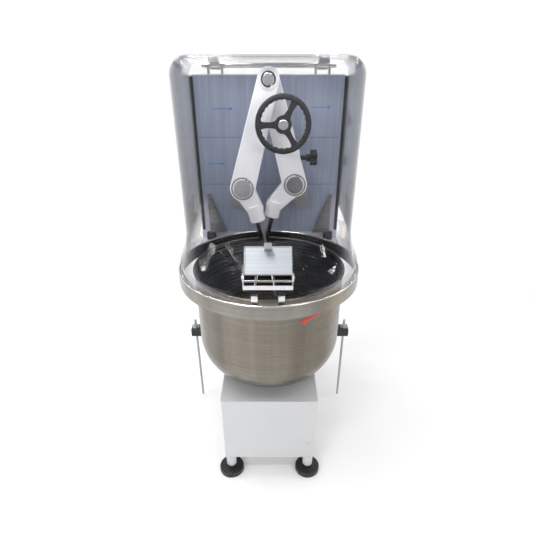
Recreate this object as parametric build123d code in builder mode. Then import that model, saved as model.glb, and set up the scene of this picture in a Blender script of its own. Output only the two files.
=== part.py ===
from build123d import *
import os
from math import cos, pi, radians, sin, tan

os.makedirs("parts", exist_ok=True)

# Floor-standing mixer with two plunging arms over a turning bowl.
# Frame: +Z up, the operator stands on the -Y side, the origin is under the middle of the box.

# ---- driving dimensions, millimetres -------------------------------------------------
SHEET = 3.0
RUN_FIT = 0.05
AIR = 0.5

BOWL_Y = -120.0
BOWL_R = 250.0
BOWL_RIM_Z = 788.0
BOWL_BOTTOM_Z = 382.0
BOWL_CORNER_R = 150.0
BOWL_WALL = 2.5
RIM_BEAD_R = 5.0

BASE_HALF_W = 168.0
BASE_FRONT_Y = BOWL_Y - 210.0
BASE_BOTTOM_Z = 80.0
DECK_Z = 361.0

RING_R = 300.0
RING_Z0 = 755.0
RING_H = 42.0
RING_WALL = 3.0

PANEL_Y = BOWL_Y + RING_R
COL_HALF_W = 270.0
COL_BACK_Y = 417.0
COL_TOP_Z = 1350.0
PANEL_HALF_W = 258.0
LOWER_HALF_W = 184.0
HEAD_Z0 = 755.0
PANEL_Z0 = 797.0

HOOD_WALL = 4.0
HOOD_TOP_Z = 1402.0
HOOD_FRONT_Y = BOWL_Y - 100.0
HOOD_FRONT_HALF_W = 262.0
HOOD_REAR_HALF_W = 268.0
HOOD_REAR_Y = PANEL_Y - 3.0
HOOD_CORNER_R = 85.0
HOOD_ROOF_R = 50.0
NECK_Z = 915.0
REAR_MOUTH_Y = BOWL_Y + 150.0
REAR_MOUTH_HALF_W = 254.0
LID_R = 290.0
LID_Z0 = 790.0
LID_SHOULDER_Z = 832.0
HINGE_Y = PANEL_Y + 18.0
HINGE_Z = 1376.0

CRANK_R = 32.0
CRANK_TILT = 22.0
PIN_X = 90.0
PIN_Z = 1011.0
CRANK_X = PIN_X + CRANK_R * sin(radians(CRANK_TILT))
SHAFT_Z = PIN_Z - CRANK_R * cos(radians(CRANK_TILT))
PIN_R = 25.0
SHAFT_R = 20.0
TOP_Z = 1341.0
TOP_PIN_R = 17.5
TOP_BOSS_R = 34.0
LOW_BOSS_R = 43.0
ARM_T = 36.0
ARM_L_Y = 28.0
ARM_R_Y = 80.0
WEB_T = 18.0
WEB_L_Y = 108.0
WEB_R_Y = 130.0
WEB_W = 52.0
WEB_TAIL = 74.0
SLEEVE_R = 27.0
SLEEVE_Z = 900.0
SLEEVE_LEN = 56.0
TOOL_R = 11.0
TOOL_L_X = -47.0
TOOL_R_X = 15.0

GEAR_TEETH = 34
GEAR_MODULE = 2.0 * CRANK_X / GEAR_TEETH
GEAR_Y = 226.0
GEAR_W = 28.0
GEAR_HOLE_RING_R = 62.0
GEAR_HOLE_R = 16.0
BEARING_R = 44.0
BEARING_T = 24.0
PLATE_Y = 262.0
PLATE_T = 6.0
PLATE_HALF_H = 80.0
PULLEY_Y = 290.0
PULLEY_W = 30.0
BIG_PULLEY_R = 100.0
SMALL_PULLEY_R = 40.0
BELT_T = 6.0
MOTOR_X = -55.0
MOTOR_Z = 640.0
MOTOR_R = 88.0
MOTOR_Y0 = 194.0
MOTOR_LEN = 84.0
MOTOR_SHAFT_R = 12.0

WHEEL_X = 45.0
WHEEL_Z = 1220.0
WHEEL_R = 86.0
WHEEL_RIM_W = 15.0
WHEEL_T = 16.0
WHEEL_Y = -34.0
STEM_R = 8.0
KNOB_Z = 1100.0
KNOB_X = 142.0
KNOB_R = 27.0

FOOT_X = 147.0
FOOT_Y_FRONT = BOWL_Y - 195.0
FOOT_Y_REAR = 340.0
FOOT_R = 46.0
FOOT_H = 20.0
STEM_FOOT_R = 8.0
LEG_R = 19.0
LEG_H = 45.0

FLAP_W = 134.0
FLAP_LEN = 84.0
FLAP_T = 2.0
FLAP_TILT = 40.0
FLAP_Y = BOWL_Y - 232.0
FLAP_Z = 866.0
CHEEK_X = 68.0

TIE_Y = BOWL_Y + 205.0
TIE_HALF = 335.0
TIE_X = 318.0
TIE_BAR = 34.0
TIE_ROD_R = 5.0


def plate(x0, x1, y0, y1, z0, z1):
    """Axis-aligned block from its six faces."""
    block = Box(x1 - x0, y1 - y0, z1 - z0, mode=Mode.PRIVATE)
    return block.moved(Location(((x0 + x1) / 2, (y0 + y1) / 2, (z0 + z1) / 2)))


def rod_y(radius, x, z, y0, y1):
    """Round bar along Y."""
    bar = Cylinder(radius, y1 - y0, rotation=(90, 0, 0), mode=Mode.PRIVATE)
    return bar.moved(Location((x, (y0 + y1) / 2, z)))


def rod_x(radius, y, z, x0, x1):
    """Round bar along X."""
    bar = Cylinder(radius, x1 - x0, rotation=(0, 90, 0), mode=Mode.PRIVATE)
    return bar.moved(Location(((x0 + x1) / 2, y, z)))


def rod_z(radius, x, y, z0, z1):
    """Round bar along Z."""
    bar = Cylinder(radius, z1 - z0, mode=Mode.PRIVATE)
    return bar.moved(Location((x, y, (z0 + z1) / 2)))


def save(piece, name):
    """Label a finished piece and write it out."""
    piece.part.label = name
    export_step(piece.part, f"parts/{name}.step")


# ---- pedestal, deck and column ---------------------------------------------------------
with BuildPart() as pedestal:
    add(plate(-BASE_HALF_W, BASE_HALF_W, BASE_FRONT_Y, PANEL_Y, BASE_BOTTOM_Z, DECK_Z))
    fillet(pedestal.edges().filter_by(Axis.Z).group_by(Axis.Y)[0], 6)
    add(plate(-BASE_HALF_W + SHEET, BASE_HALF_W - SHEET, BASE_FRONT_Y + SHEET, PANEL_Y + 1,
              BASE_BOTTOM_Z + SHEET, DECK_Z + 1), mode=Mode.SUBTRACT)
    with BuildSketch(Plane.XY.offset(BASE_BOTTOM_Z)):
        with Locations((-FOOT_X, FOOT_Y_FRONT), (FOOT_X, FOOT_Y_FRONT)):
            Circle(STEM_FOOT_R + 2)
    extrude(amount=SHEET, mode=Mode.SUBTRACT)
save(pedestal, "pedestal")

DECK_T = 4.0
SPINDLE_R = 20.0
with BuildPart() as deck_plate:
    add(plate(-BASE_HALF_W - 2, BASE_HALF_W + 2, BASE_FRONT_Y - 2, PANEL_Y, DECK_Z, DECK_Z + DECK_T))
    fillet(deck_plate.edges().filter_by(Axis.Z).group_by(Axis.Y)[0], 8)
    add(rod_z(SPINDLE_R + 6, 0, BOWL_Y, DECK_Z - 1, DECK_Z + DECK_T + 1), mode=Mode.SUBTRACT)
save(deck_plate, "deck_plate")

COL_CORNER_R = 14.0


def column_outline(inset):
    """Front outline of the column: a wide head standing on a narrow lower part."""
    with BuildSketch(mode=Mode.PRIVATE) as outline:
        with BuildLine():
            Polyline((-LOWER_HALF_W + inset, BASE_BOTTOM_Z + inset),
                     (LOWER_HALF_W - inset, BASE_BOTTOM_Z + inset),
                     (LOWER_HALF_W - inset, HEAD_Z0 + inset), (COL_HALF_W - inset, HEAD_Z0 + inset),
                     (COL_HALF_W - inset, COL_TOP_Z - inset), (-COL_HALF_W + inset, COL_TOP_Z - inset),
                     (-COL_HALF_W + inset, HEAD_Z0 + inset), (-LOWER_HALF_W + inset, HEAD_Z0 + inset),
                     close=True)
        make_face()
        fillet(outline.vertices().group_by(Axis.Y)[-1], COL_CORNER_R - inset)
    return outline.sketch


with BuildPart() as column_shell:
    with BuildSketch(Plane.XZ.offset(-COL_BACK_Y + SHEET)):
        add(column_outline(0))
        add(column_outline(SHEET), mode=Mode.SUBTRACT)
    extrude(amount=COL_BACK_Y - SHEET - PANEL_Y - SHEET)
    with BuildSketch(Plane.XY.offset(BASE_BOTTOM_Z)):
        with Locations((-FOOT_X, FOOT_Y_REAR), (FOOT_X, FOOT_Y_REAR)):
            Circle(STEM_FOOT_R + 2)
    extrude(amount=SHEET, mode=Mode.SUBTRACT)
save(column_shell, "column_shell")

PANEL_CUT_X = 70.0
PANEL_CUT_Z = 165.0
with BuildPart() as back_panel:
    with BuildSketch(Plane.XZ.offset(-PANEL_Y - SHEET)):
        with BuildLine():
            Polyline((-PANEL_HALF_W + PANEL_CUT_X, PANEL_Z0), (PANEL_HALF_W - PANEL_CUT_X, PANEL_Z0),
                     (PANEL_HALF_W, PANEL_Z0 + PANEL_CUT_Z), (PANEL_HALF_W, COL_TOP_Z - SHEET),
                     (-PANEL_HALF_W, COL_TOP_Z - SHEET), (-PANEL_HALF_W, PANEL_Z0 + PANEL_CUT_Z), close=True)
        make_face()
        with Locations((-CRANK_X, SHAFT_Z), (CRANK_X, SHAFT_Z)):
            Circle(SHAFT_R + 3, mode=Mode.SUBTRACT)
    extrude(amount=SHEET)
save(back_panel, "back_panel")

with BuildPart() as front_frame:
    with BuildSketch(Plane.XZ.offset(-PANEL_Y - 2 * SHEET)):
        add(column_outline(SHEET))
        with Locations((-CRANK_X, SHAFT_Z), (CRANK_X, SHAFT_Z)):
            Circle(SHAFT_R + 3, mode=Mode.SUBTRACT)
    extrude(amount=SHEET)
save(front_frame, "front_frame")

with BuildPart() as apron:
    add(plate(-LOWER_HALF_W, LOWER_HALF_W, PANEL_Y, PANEL_Y + SHEET, DECK_Z + DECK_T, HEAD_Z0))
    add(plate(-COL_HALF_W, COL_HALF_W, PANEL_Y, PANEL_Y + SHEET, HEAD_Z0, PANEL_Z0))
save(apron, "apron")

SHELF_T = 6.0
SHELF_Y0 = BOWL_Y + 110.0
with BuildPart() as shelf:
    add(plate(-COL_HALF_W, COL_HALF_W, SHELF_Y0, PANEL_Y, RING_Z0 + 10, RING_Z0 + 10 + SHELF_T))
    add(rod_z(RING_R, 0, BOWL_Y, RING_Z0, RING_Z0 + RING_H), mode=Mode.SUBTRACT)
save(shelf, "shelf")

with BuildPart() as guard_ring:
    with BuildSketch(Plane.XZ.offset(-BOWL_Y)):
        with Locations((RING_R - RING_WALL / 2, RING_Z0 + RING_H / 2)):
            Rectangle(RING_WALL, RING_H)
        with Locations((RING_R - RING_WALL, RING_Z0 + RING_H)):
            Circle(RING_WALL)
    revolve(axis=Axis((0, BOWL_Y, 0), (0, 0, 1)))
save(guard_ring, "guard_ring")

GUSSET_W = 66.0
GUSSET_H = 150.0
with BuildPart() as gussets:
    for side in (-1, 1):
        with BuildSketch(Plane.XZ.offset(-PANEL_Y)):
            with BuildLine():
                Polyline((side * 236, PANEL_Z0), (side * (236 - GUSSET_W), PANEL_Z0),
                         (side * 230, PANEL_Z0 + GUSSET_H), (side * 236, PANEL_Z0 + GUSSET_H), close=True)
            make_face()
        extrude(amount=14)
save(gussets, "gussets")

with BuildPart() as hood_stops:
    for side in (-1, 1):
        with BuildSketch(Plane.XY.offset(RING_Z0 + 10 + SHELF_T)):
            with Locations((side * 232, PANEL_Y - 13)):
                RectangleRounded(34, 26, 4)
        extrude(amount=PANEL_Z0 - RING_Z0 - 10 - SHELF_T)
save(hood_stops, "hood_stops")

with BuildPart() as edge_seals:
    for side in (-1, 1):
        add(plate(side * 262 - 5, side * 262 + 5, HOOD_REAR_Y + AIR, PANEL_Y, PANEL_Z0 + 8, COL_TOP_Z - 6))
save(edge_seals, "edge_seals")

LOUVRES = 7
with BuildPart() as rear_cover:
    with BuildSketch(Plane.XZ.offset(-COL_BACK_Y)):
        add(column_outline(0))
    extrude(amount=SHEET)
    with BuildSketch(Plane.XZ.offset(-COL_BACK_Y)):
        for level in (480, 1180):
            with Locations((0, level)):
                with GridLocations(0, 22, 1, LOUVRES):
                    SlotOverall(180, 8)
    extrude(amount=SHEET, mode=Mode.SUBTRACT)
save(rear_cover, "rear_cover")

SCREW_HEAD_R = 5.0
SCREW_HEAD_T = 3.0
with BuildPart() as cover_screws:
    for edge_x, levels in ((LOWER_HALF_W - 16, (110, 325, 540)), (COL_HALF_W - 16, (790, 1050, 1320))):
        for x in (-edge_x, edge_x):
            for z in levels:
                add(rod_y(SCREW_HEAD_R, x, z, COL_BACK_Y, COL_BACK_Y + SCREW_HEAD_T))
save(cover_screws, "cover_screws")

# ---- legs and levelling feet -----------------------------------------------------------
FOOT_SPOTS = {
    "fl": (-FOOT_X, FOOT_Y_FRONT),
    "fr": (FOOT_X, FOOT_Y_FRONT),
    "rl": (-FOOT_X, FOOT_Y_REAR),
    "rr": (FOOT_X, FOOT_Y_REAR),
}
LEG_Z0 = BASE_BOTTOM_Z - LEG_H
with BuildPart() as leg_tubes:
    with BuildSketch(Plane.XY.offset(LEG_Z0)):
        with Locations(*FOOT_SPOTS.values()):
            Circle(LEG_R)
            Circle(STEM_FOOT_R + RUN_FIT, mode=Mode.SUBTRACT)
    extrude(amount=LEG_H)
save(leg_tubes, "leg_tubes")

FOOT_RIM_R = 4.0
for spot, (foot_x, foot_y) in FOOT_SPOTS.items():
    with BuildPart() as foot:
        add(rod_z(FOOT_R, foot_x, foot_y, 0, FOOT_H))
        fillet(foot.edges().group_by(Axis.Z)[-1], FOOT_RIM_R)
        add(rod_z(STEM_FOOT_R, foot_x, foot_y, FOOT_H, BASE_BOTTOM_Z - 4))
        with BuildSketch(Plane.XY.offset(FOOT_H)):
            with Locations((foot_x, foot_y)):
                RegularPolygon(13, 6)
        extrude(amount=8)
    save(foot, f"foot_{spot}")

# ---- bowl and its drive ----------------------------------------------------------------
with BuildPart() as bowl:
    with BuildSketch(Plane.XZ.offset(-BOWL_Y)):
        with BuildLine():
            Polyline((0, BOWL_BOTTOM_Z), (BOWL_R, BOWL_BOTTOM_Z), (BOWL_R, BOWL_RIM_Z), (0, BOWL_RIM_Z),
                     close=True)
        make_face()
        fillet(vertices().group_by(Axis.Y)[0].sort_by(Axis.X)[-1], BOWL_CORNER_R)
    revolve(axis=Axis((0, BOWL_Y, 0), (0, 0, 1)))
    with BuildSketch(Plane.XZ.offset(-BOWL_Y)) as bowl_hollow:
        with BuildLine():
            Polyline((0, BOWL_BOTTOM_Z + BOWL_WALL), (BOWL_R - BOWL_WALL, BOWL_BOTTOM_Z + BOWL_WALL),
                     (BOWL_R - BOWL_WALL, BOWL_RIM_Z + 20), (0, BOWL_RIM_Z + 20), close=True)
        make_face()
        fillet(vertices().group_by(Axis.Y)[0].sort_by(Axis.X)[-1], BOWL_CORNER_R - BOWL_WALL)
    revolve(axis=Axis((0, BOWL_Y, 0), (0, 0, 1)), mode=Mode.SUBTRACT)
    with BuildSketch(Plane.XZ.offset(-BOWL_Y)) as bowl_bead:
        with Locations((BOWL_R, BOWL_RIM_Z)):
            Circle(RIM_BEAD_R)
    revolve(axis=Axis((0, BOWL_Y, 0), (0, 0, 1)))
save(bowl, "bowl")

HUB_R = 70.0
HUB_GAP = 3.0
GEARBOX_HALF = 92.0
GEARBOX_Z0 = 190.0
GEARBOX_Z1 = 330.0
with BuildPart() as bowl_spindle:
    add(rod_z(SPINDLE_R, 0, BOWL_Y, GEARBOX_Z0 + 30, DECK_Z + DECK_T + HUB_GAP))
    add(rod_z(HUB_R, 0, BOWL_Y, DECK_Z + DECK_T + HUB_GAP, BOWL_BOTTOM_Z))
save(bowl_spindle, "bowl_spindle")

with BuildPart() as bowl_gearbox:
    add(plate(-GEARBOX_HALF, GEARBOX_HALF, BOWL_Y - GEARBOX_HALF, BOWL_Y + GEARBOX_HALF,
              GEARBOX_Z0, GEARBOX_Z1))
    fillet(bowl_gearbox.edges().filter_by(Axis.Z), 18)
    add(rod_z(SPINDLE_R + 22, 0, BOWL_Y, GEARBOX_Z1, GEARBOX_Z1 + 14))
    for x in (-GEARBOX_HALF, GEARBOX_HALF - 24):
        add(plate(x, x + 24, BOWL_Y - 60, BOWL_Y + 60, BASE_BOTTOM_Z + SHEET, GEARBOX_Z0))
    add(rod_z(SPINDLE_R + RUN_FIT, 0, BOWL_Y, GEARBOX_Z0 + 26, GEARBOX_Z1 + 20), mode=Mode.SUBTRACT)
save(bowl_gearbox, "bowl_gearbox")

BOWL_MOTOR_R = 58.0
BOWL_MOTOR_LEN = 170.0
BOWL_MOTOR_Y0 = BOWL_Y + GEARBOX_HALF
BOWL_MOTOR_Z = (GEARBOX_Z0 + GEARBOX_Z1) / 2
FIN_T = 4.0
FIN_H = 7.0
with BuildPart() as bowl_motor:
    add(rod_y(BOWL_MOTOR_R, 0, BOWL_MOTOR_Z, BOWL_MOTOR_Y0, BOWL_MOTOR_Y0 + BOWL_MOTOR_LEN))
    fillet(bowl_motor.edges().group_by(Axis.Y)[-1], 8)
    for turn in range(12):
        fin = plate(-FIN_T / 2, FIN_T / 2, BOWL_MOTOR_Y0 + 20, BOWL_MOTOR_Y0 + BOWL_MOTOR_LEN - 20,
                    BOWL_MOTOR_R - 2, BOWL_MOTOR_R + FIN_H)
        add(fin.rotate(Axis.Y, 30 * turn).moved(Location((0, 0, BOWL_MOTOR_Z))))
save(bowl_motor, "bowl_motor")

# ---- cranks, gears and motor -----------------------------------------------------------
def gear(teeth, module, width):
    """Spur gear disc with straight-flanked teeth, axis along Y, one tooth pointing at +X."""
    pitch_r = teeth * module / 2
    tip_r = pitch_r + 0.8 * module
    root_r = pitch_r - 1.1 * module
    step = 2 * pi / teeth
    points = []
    for tooth in range(teeth):
        centre = tooth * step
        for offset, radius in ((-0.27, root_r), (-0.12, tip_r), (0.12, tip_r), (0.27, root_r)):
            angle = centre + offset * step
            points.append((radius * cos(angle), radius * sin(angle)))
    with BuildPart(mode=Mode.PRIVATE) as blank:
        with BuildSketch(Plane.XZ):
            with BuildLine():
                Polyline(*points, close=True)
            make_face()
        extrude(amount=width / 2, both=True)
    return blank.part


def crank_web(side, y0):
    """Crank bar from its weighted tail past the shaft up to the pin, leaning inward by CRANK_TILT."""
    with BuildPart(mode=Mode.PRIVATE) as bar:
        add(plate(-WEB_W / 2, WEB_W / 2, y0, y0 + WEB_T, -WEB_TAIL, CRANK_R + WEB_W / 2))
        chamfer(bar.edges().filter_by(Axis.Y), 3)
    tilted = bar.part.rotate(Axis.Y, -side * CRANK_TILT)
    return tilted.moved(Location((side * CRANK_X, 0, SHAFT_Z)))


CAP_R = 29.0
CAP_T = 5.0
LEFT_CAP_Y = ARM_L_Y - ARM_T / 2 - 2
SHAFT_END_Y = PLATE_Y + PLATE_T + 4
LEFT_SHAFT_END_Y = PULLEY_Y + PULLEY_W
with BuildPart() as crank_left:
    add(crank_web(-1, WEB_L_Y))
    add(rod_y(SHAFT_R, -CRANK_X, SHAFT_Z, WEB_L_Y + WEB_T, LEFT_SHAFT_END_Y))
    add(rod_y(PIN_R, -PIN_X, PIN_Z, LEFT_CAP_Y, WEB_L_Y))
    add(rod_y(CAP_R, -PIN_X, PIN_Z, LEFT_CAP_Y - CAP_T, LEFT_CAP_Y))
save(crank_left, "crank_left")

with BuildPart() as crank_right:
    add(crank_web(1, WEB_R_Y))
    add(rod_y(SHAFT_R, CRANK_X, SHAFT_Z, WEB_R_Y + WEB_T, SHAFT_END_Y))
    add(rod_y(PIN_R, PIN_X, PIN_Z, ARM_R_Y + ARM_T / 2 + 3, WEB_R_Y))
save(crank_right, "crank_right")

for side, label in ((-1, "gear_left"), (1, "gear_right")):
    phase = 0.0 if side < 0 else 180.0 + 180.0 / GEAR_TEETH
    with BuildPart() as crank_gear:
        add(gear(GEAR_TEETH, GEAR_MODULE, GEAR_W).rotate(Axis.Y, phase).moved(
            Location((side * CRANK_X, GEAR_Y + GEAR_W / 2, SHAFT_Z))))
        add(rod_y(SHAFT_R, side * CRANK_X, SHAFT_Z, GEAR_Y - 1, GEAR_Y + GEAR_W + 1), mode=Mode.SUBTRACT)
        with BuildSketch(Plane.XZ.offset(-GEAR_Y)):
            with Locations((side * CRANK_X, SHAFT_Z)):
                with PolarLocations(GEAR_HOLE_RING_R, 6):
                    Circle(GEAR_HOLE_R)
        extrude(amount=-GEAR_W, mode=Mode.SUBTRACT)
    save(crank_gear, label)

with BuildPart() as flange_bearings:
    for side in (-1, 1):
        add(rod_y(BEARING_R, side * CRANK_X, SHAFT_Z, PANEL_Y + 2 * SHEET, PANEL_Y + 2 * SHEET + BEARING_T))
    for side in (-1, 1):
        add(rod_y(SHAFT_R + RUN_FIT, side * CRANK_X, SHAFT_Z, PANEL_Y, PANEL_Y + 60), mode=Mode.SUBTRACT)
save(flange_bearings, "flange_bearings")

with BuildPart() as bearing_plate:
    add(plate(-COL_HALF_W + SHEET, COL_HALF_W - SHEET, PLATE_Y, PLATE_Y + PLATE_T,
              SHAFT_Z - PLATE_HALF_H, SHAFT_Z + PLATE_HALF_H))
    for side in (-1, 1):
        add(rod_y(SHAFT_R + RUN_FIT, side * CRANK_X, SHAFT_Z, PLATE_Y - 1, PLATE_Y + PLATE_T + 1),
            mode=Mode.SUBTRACT)
save(bearing_plate, "bearing_plate")

GROOVE = 3.0


def pulley_blank(radius, bore, x, z):
    """Flat-belt pulley with two guide rims, its axis along Y."""
    with BuildPart(mode=Mode.PRIVATE) as wheel:
        with BuildSketch(Plane.XY):
            with BuildLine():
                Polyline((bore, 0), (radius + GROOVE, 0), (radius + GROOVE, 3), (radius, 6),
                         (radius, PULLEY_W - 6), (radius + GROOVE, PULLEY_W - 3),
                         (radius + GROOVE, PULLEY_W), (bore, PULLEY_W), close=True)
            make_face()
        revolve(axis=Axis.Y)
    return wheel.part.moved(Location((x, PULLEY_Y, z)))


MOTOR_Y1 = MOTOR_Y0 + MOTOR_LEN
with BuildPart() as crank_pulley:
    add(pulley_blank(BIG_PULLEY_R, SHAFT_R, -CRANK_X, SHAFT_Z))
save(crank_pulley, "crank_pulley")

with BuildPart() as motor_pulley:
    add(pulley_blank(SMALL_PULLEY_R, MOTOR_SHAFT_R, MOTOR_X, MOTOR_Z))
    add(rod_y(MOTOR_SHAFT_R, MOTOR_X, MOTOR_Z, MOTOR_Y1 - 36, PULLEY_Y + PULLEY_W + 4))
save(motor_pulley, "motor_pulley")

BELT_Y0 = PULLEY_Y + 8
BELT_W = PULLEY_W - 16


def belt_outline(extra):
    """Straight-sided loop round both pulleys, its sides tangent to both."""
    big = BIG_PULLEY_R + AIR + extra
    small = SMALL_PULLEY_R + AIR + extra
    with BuildSketch(mode=Mode.PRIVATE) as outline:
        with Locations((-CRANK_X, SHAFT_Z)):
            Circle(big)
        with Locations((MOTOR_X, MOTOR_Z)):
            Circle(small)
        make_hull()
    return outline.sketch


with BuildPart() as drive_belt:
    with BuildSketch(Plane.XZ.offset(-BELT_Y0 - BELT_W)):
        add(belt_outline(BELT_T))
        add(belt_outline(0), mode=Mode.SUBTRACT)
    extrude(amount=BELT_W)
save(drive_belt, "drive_belt")

with BuildPart() as motor:
    add(rod_y(MOTOR_R, MOTOR_X, MOTOR_Z, MOTOR_Y0, MOTOR_Y1))
    fillet(motor.edges().group_by(Axis.Y)[0], 10)
    for turn in range(16):
        fin = plate(-FIN_T / 2, FIN_T / 2, MOTOR_Y0 + 14, MOTOR_Y1 - 6, MOTOR_R - 2, MOTOR_R + FIN_H)
        add(fin.rotate(Axis.Y, 22.5 * turn).moved(Location((MOTOR_X, 0, MOTOR_Z))))
    add(plate(MOTOR_X - 80, MOTOR_X + 80, MOTOR_Y0 + 10, MOTOR_Y1 - 4, MOTOR_Z - 112, MOTOR_Z - 70))
    add(rod_y(MOTOR_SHAFT_R + RUN_FIT, MOTOR_X, MOTOR_Z, MOTOR_Y1 - 40, MOTOR_Y1 + 1), mode=Mode.SUBTRACT)
save(motor, "motor")

with BuildPart() as motor_shelf:
    add(plate(-LOWER_HALF_W + SHEET, LOWER_HALF_W - SHEET, PANEL_Y + 2 * SHEET, COL_BACK_Y - SHEET,
              MOTOR_Z - 118, MOTOR_Z - 112))
save(motor_shelf, "motor_shelf")

# ---- arms ------------------------------------------------------------------------------
SLEEVE_LEAN = 14.0


def arm_outline(side, low_boss, sleeve_x):
    """Tapering arm from the top eye to the crank-pin boss and on to the tool sleeve."""
    with BuildSketch(mode=Mode.PRIVATE) as upper:
        with Locations((0, TOP_Z)):
            Circle(TOP_BOSS_R)
        with Locations((side * PIN_X, PIN_Z)):
            Circle(low_boss)
        make_hull()
    with BuildSketch(mode=Mode.PRIVATE) as lower:
        with Locations((side * PIN_X, PIN_Z)):
            Circle(low_boss - 7)
        with Locations((sleeve_x, SLEEVE_Z + SLEEVE_LEN - 22)):
            Circle(SLEEVE_R)
        make_hull()
    return upper.sketch + lower.sketch


def sleeve(side, sleeve_x, y):
    """Round tool socket at the foot of an arm, leaning towards the other arm."""
    tube = Cylinder(SLEEVE_R, SLEEVE_LEN, mode=Mode.PRIVATE).rotate(Axis.Y, side * SLEEVE_LEAN)
    return tube.moved(Location((sleeve_x, y, SLEEVE_Z + SLEEVE_LEN / 2 - 6)))


def sleeve_bore(side, sleeve_x, y):
    """Blind bore of a tool socket."""
    bore = Cylinder(TOOL_R, SLEEVE_LEN, mode=Mode.PRIVATE).rotate(Axis.Y, side * SLEEVE_LEAN)
    shift = 14.0
    return bore.moved(Location((sleeve_x - side * shift * sin(radians(SLEEVE_LEAN)), y,
                                SLEEVE_Z + SLEEVE_LEN / 2 - 6 - shift * cos(radians(SLEEVE_LEAN)))))


BEARING_BORE = 38.0
with BuildPart() as arm_left:
    with BuildSketch(Plane.XZ.offset(-ARM_L_Y - ARM_T / 2)):
        add(arm_outline(-1, LOW_BOSS_R, TOOL_L_X))
    extrude(amount=ARM_T)
    fillet(arm_left.edges().group_by(Axis.Y)[0], 3)
    add(rod_y(TOP_BOSS_R - 6, 0, TOP_Z, ARM_L_Y - ARM_T / 2 - 5, ARM_L_Y - ARM_T / 2))
    add(sleeve(-1, TOOL_L_X, ARM_L_Y))
    add(rod_y(TOP_PIN_R, 0, TOP_Z, ARM_L_Y - 60, ARM_L_Y + 60), mode=Mode.SUBTRACT)
    add(rod_y(BEARING_BORE, -PIN_X, PIN_Z, ARM_L_Y - 60, ARM_L_Y + 60), mode=Mode.SUBTRACT)
    add(sleeve_bore(-1, TOOL_L_X, ARM_L_Y), mode=Mode.SUBTRACT)
save(arm_left, "arm_left")

with BuildPart() as bearing_left:
    add(rod_y(BEARING_BORE, -PIN_X, PIN_Z, ARM_L_Y - ARM_T / 2 + 2, ARM_L_Y + ARM_T / 2))
    add(rod_y(PIN_R + RUN_FIT, -PIN_X, PIN_Z, ARM_L_Y - 60, ARM_L_Y + 60), mode=Mode.SUBTRACT)
save(bearing_left, "bearing_left")

with BuildPart() as top_pin:
    add(rod_y(TOP_PIN_R, 0, TOP_Z, ARM_L_Y - ARM_T / 2 - 12, ARM_R_Y + ARM_T / 2 + 4))
    chamfer(top_pin.edges().group_by(Axis.Y)[0], 1.5)
    add(rod_y(TOP_PIN_R + 5, 0, TOP_Z, ARM_L_Y + ARM_T / 2, ARM_R_Y - ARM_T / 2 - AIR))
save(top_pin, "top_pin")

CUT_Z = 1140.0
BOSS_X = 104.0
with BuildPart() as arm_right_whole:
    with BuildSketch(Plane.XZ.offset(-ARM_R_Y - ARM_T / 2)):
        add(arm_outline(1, LOW_BOSS_R, TOOL_R_X))
    extrude(amount=ARM_T)
    fillet(arm_right_whole.edges().group_by(Axis.Y)[0], 3)
    add(sleeve(1, TOOL_R_X, ARM_R_Y))
    add(plate(60, BOSS_X, ARM_R_Y - 16, ARM_R_Y + 16, KNOB_Z - 24, KNOB_Z + 24))
    add(rod_y(TOP_PIN_R + RUN_FIT, 0, TOP_Z, ARM_R_Y - 60, ARM_R_Y + 60), mode=Mode.SUBTRACT)
    add(rod_y(BEARING_BORE, PIN_X, PIN_Z, ARM_R_Y - 60, ARM_R_Y + 60), mode=Mode.SUBTRACT)
    add(sleeve_bore(1, TOOL_R_X, ARM_R_Y), mode=Mode.SUBTRACT)
    add(rod_y(STEM_R + RUN_FIT, WHEEL_X, WHEEL_Z, ARM_R_Y - 60, ARM_R_Y + ARM_T / 2 - 6), mode=Mode.SUBTRACT)
    add(rod_x(STEM_R + RUN_FIT, ARM_R_Y, KNOB_Z, BOSS_X - 30, BOSS_X + 10), mode=Mode.SUBTRACT)

with BuildPart() as arm_right_upper:
    add(arm_right_whole.part)
    split(bisect_by=Plane.XY.offset(CUT_Z), keep=Keep.TOP)
save(arm_right_upper, "arm_right_upper")

with BuildPart() as arm_right_lower:
    add(arm_right_whole.part)
    split(bisect_by=Plane.XY.offset(CUT_Z), keep=Keep.BOTTOM)
save(arm_right_lower, "arm_right_lower")

with BuildPart() as bearing_right:
    add(rod_y(BEARING_BORE, PIN_X, PIN_Z, ARM_R_Y - ARM_T / 2 + 2, ARM_R_Y + ARM_T / 2))
    add(rod_y(CAP_R, PIN_X, PIN_Z, ARM_R_Y - ARM_T / 2 - 5, ARM_R_Y))
save(bearing_right, "bearing_right")


SOCKET_MID_Z = SLEEVE_Z + SLEEVE_LEN / 2 - 6
PADDLE_R = 9.0
PADDLE_HALF = 60.0
PRONG_R = 7.0
PRONG_H = 70.0


def on_axis(side, sleeve_x, z):
    """X of a socket's leaning axis at height z."""
    return sleeve_x - side * (SOCKET_MID_Z - z) * tan(radians(SLEEVE_LEAN))


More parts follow.
